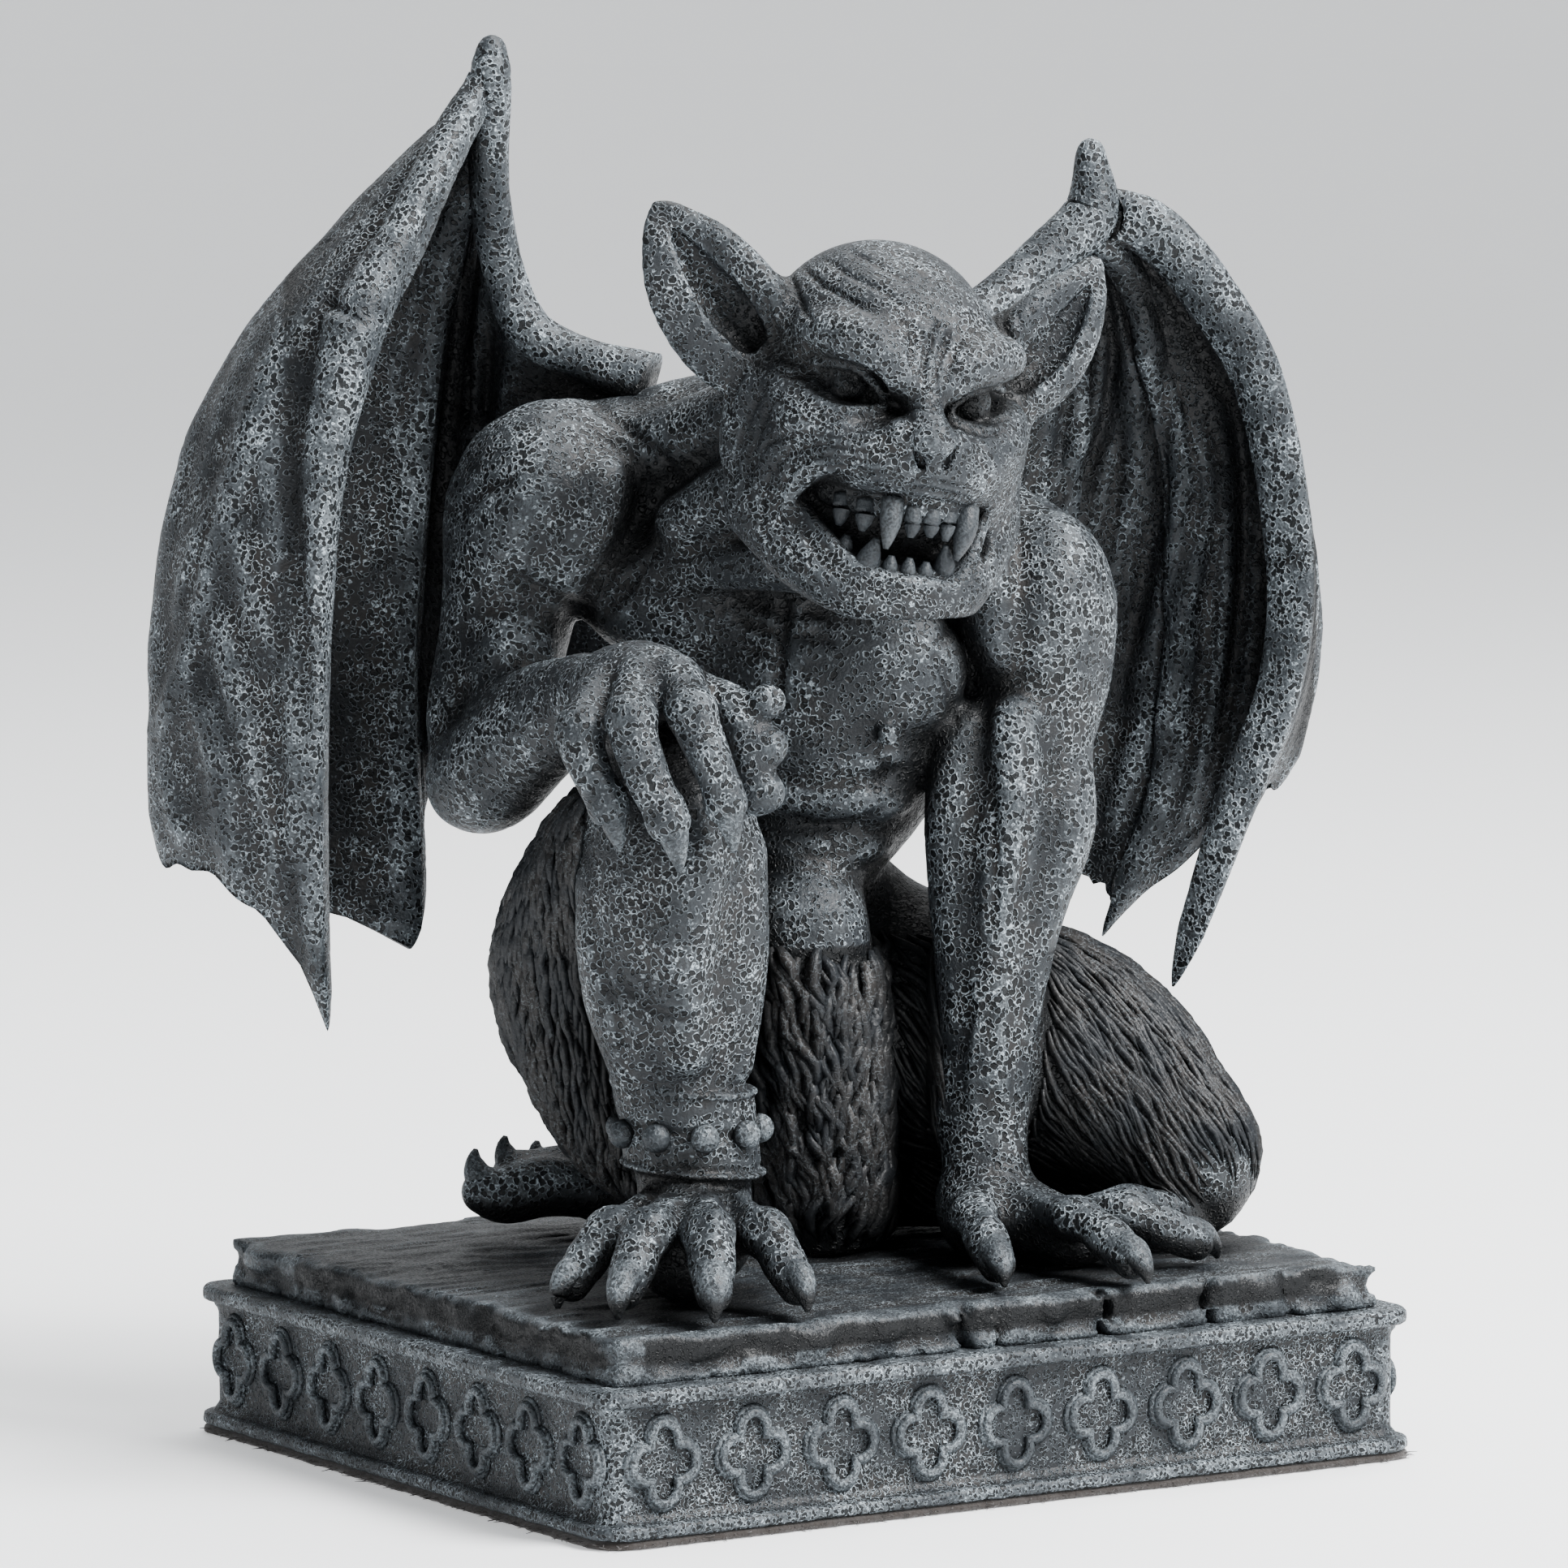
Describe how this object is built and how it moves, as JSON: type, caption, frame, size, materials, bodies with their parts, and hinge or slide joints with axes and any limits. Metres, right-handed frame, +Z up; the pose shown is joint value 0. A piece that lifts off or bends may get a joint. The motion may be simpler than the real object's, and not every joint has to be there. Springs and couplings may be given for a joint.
{
  "type": "kneeling gargoyle statue",
  "caption": "Winged, horn-eared gargoyle crouching on one knee with bared fangs, on a rectangular plinth with a frieze of quatrefoils.",
  "frame": {"origin": "middle of the felt's underside, on the surface the statue stands on", "axes": "+Z up; -Y out of the plinth's long front face with nine quatrefoils; +X along that face, to the right of someone who looks at it. The gargoyle is turned -31.5 degrees about +Z on the plinth, so its chest faces the plinth's front left corner."},
  "size_m": [0.1553, 0.1095, 0.1848],
  "materials": {
    "cast_resin": "semi-gloss charcoal grey, pitted like worn stone, with pale blue-grey rubbed on what stands out",
    "felt": "matt dark brown felt"
  },
  "bodies": {
    "root": {"felt_pad": "felt", "plinth": "cast_resin", "gargoyle": "cast_resin", "wing_right": "cast_resin", "wing_left": "cast_resin"}
  },
  "joints": []
}
